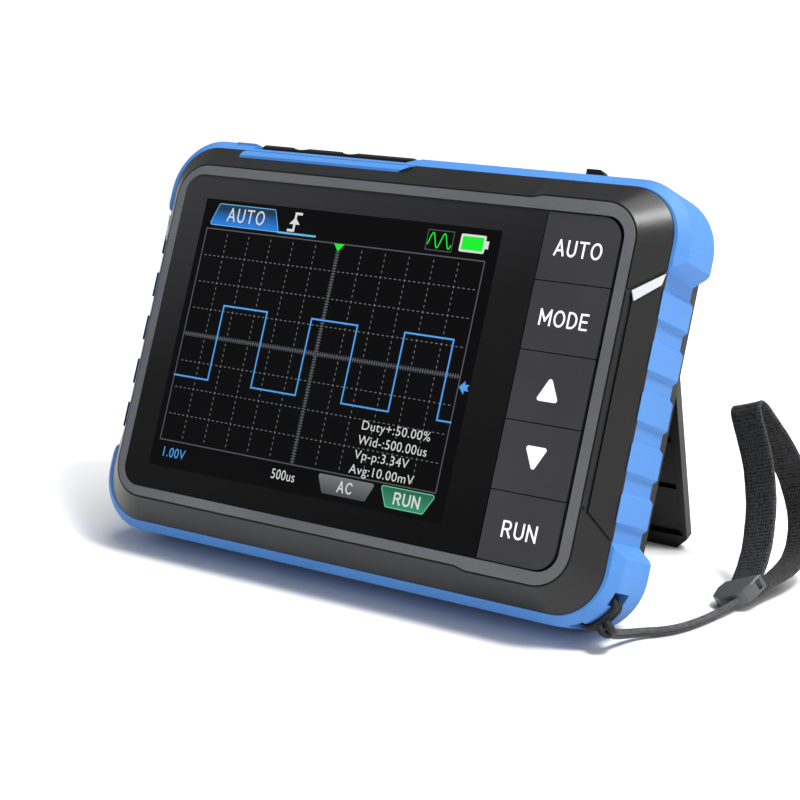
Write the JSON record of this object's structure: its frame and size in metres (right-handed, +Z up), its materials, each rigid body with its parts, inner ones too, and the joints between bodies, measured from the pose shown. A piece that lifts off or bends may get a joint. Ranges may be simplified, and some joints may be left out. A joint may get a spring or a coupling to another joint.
{
  "type": "handheld oscilloscope",
  "caption": "Pocket digital oscilloscope with a framed display, a key column, a ribbed rubber bumper, a fold-out kickstand, probe and generator sockets and a wrist lanyard.",
  "frame": {"origin": "centre of the standing object's footprint, on the surface it stands on", "axes": "+X to the right across the display, +Y from the display to the back, +Z up"},
  "size_m": [0.1118, 0.056, 0.0671],
  "materials": {
    "shell_black": "satin moulded ABS, fine texture",
    "frame_grey": "satin grey paint",
    "accent_silver": "satin silver paint",
    "window": "gloss, printed black border",
    "display": "display stack",
    "key_grey": "matte",
    "bumper_blue": "matte TPU",
    "stand_black": "satin",
    "board_green": "solder mask",
    "chip_black": "moulded",
    "tinned_steel": "tinned",
    "gold_brass": "gold plated",
    "steel": "zinc plated",
    "inner_plastic": "moulded",
    "foil_silver": "pouch foil",
    "flex_amber": "polyimide",
    "foam_black": "foam tape",
    "lead_wire": "insulation",
    "cord_black": "braided",
    "webbing_black": "woven",
    "slider_grey": "satin"
  },
  "bodies": {
    "case": {"front_shell": "shell_black", "face_frame": "frame_grey", "right_accent": "accent_silver", "left_accent": "accent_silver", "display_lens": "window", "lens_gasket": "foam_black", "lcd_panel": "display", "backlight": "inner_plastic", "display_flex": "flex_amber", "inner_frame": "inner_plastic", "tact_switches": "chip_black", "main_pcb": "board_green", "pcb_screws": "steel", "shield_can": "tinned_steel", "chips": "chip_black", "battery": "foil_silver", "battery_plug": "inner_plastic", "battery_leads": "lead_wire", "probe_jack": "gold_brass", "generator_jack": "gold_brass", "usb_receptacle": "tinned_steel", "port_block": "shell_black", "power_switch": "tinned_steel", "bumper": "bumper_blue", "back_shell": "shell_black", "case_screws": "steel", "hinge_pin_left": "steel", "hinge_pin_right": "steel", "lanyard_hitch": "cord_black", "lanyard_cord": "cord_black", "lanyard_slider": "slider_grey", "lanyard_strap": "webbing_black"},
    "power_knob": {"power_knob": "stand_black"},
    "kickstand": {"kickstand": "stand_black"},
    "auto_key": {"auto_key": "key_grey"},
    "mode_key": {"mode_key": "key_grey"},
    "up_key": {"up_key": "key_grey"},
    "down_key": {"down_key": "key_grey"},
    "run_key": {"run_key": "key_grey"}
  },
  "joints": [
    {"name": "kickstand_hinge", "type": "hinge", "parent": "case", "child": "kickstand", "pos_m": [0, 0.00953, 0.05441], "axis": [1, 0, 0], "range_deg": [-40, 0]},
    {"name": "power_slide", "type": "slide", "parent": "case", "child": "power_knob", "axis": [-1, 0, 0], "range_m": [0, 0.002]},
    {"name": "auto_press", "type": "slide", "parent": "case", "child": "auto_key", "axis": [0, 0.9248, -0.3804], "range_m": [0, 0.0005], "stiffness_N_per_m": 400},
    {"name": "mode_press", "type": "slide", "parent": "case", "child": "mode_key", "axis": [0, 0.9248, -0.3804], "range_m": [0, 0.0005], "stiffness_N_per_m": 400},
    {"name": "up_press", "type": "slide", "parent": "case", "child": "up_key", "axis": [0, 0.9248, -0.3804], "range_m": [0, 0.0005], "stiffness_N_per_m": 400},
    {"name": "down_press", "type": "slide", "parent": "case", "child": "down_key", "axis": [0, 0.9248, -0.3804], "range_m": [0, 0.0005], "stiffness_N_per_m": 400},
    {"name": "run_press", "type": "slide", "parent": "case", "child": "run_key", "axis": [0, 0.9248, -0.3804], "range_m": [0, 0.0005], "stiffness_N_per_m": 400}
  ]
}
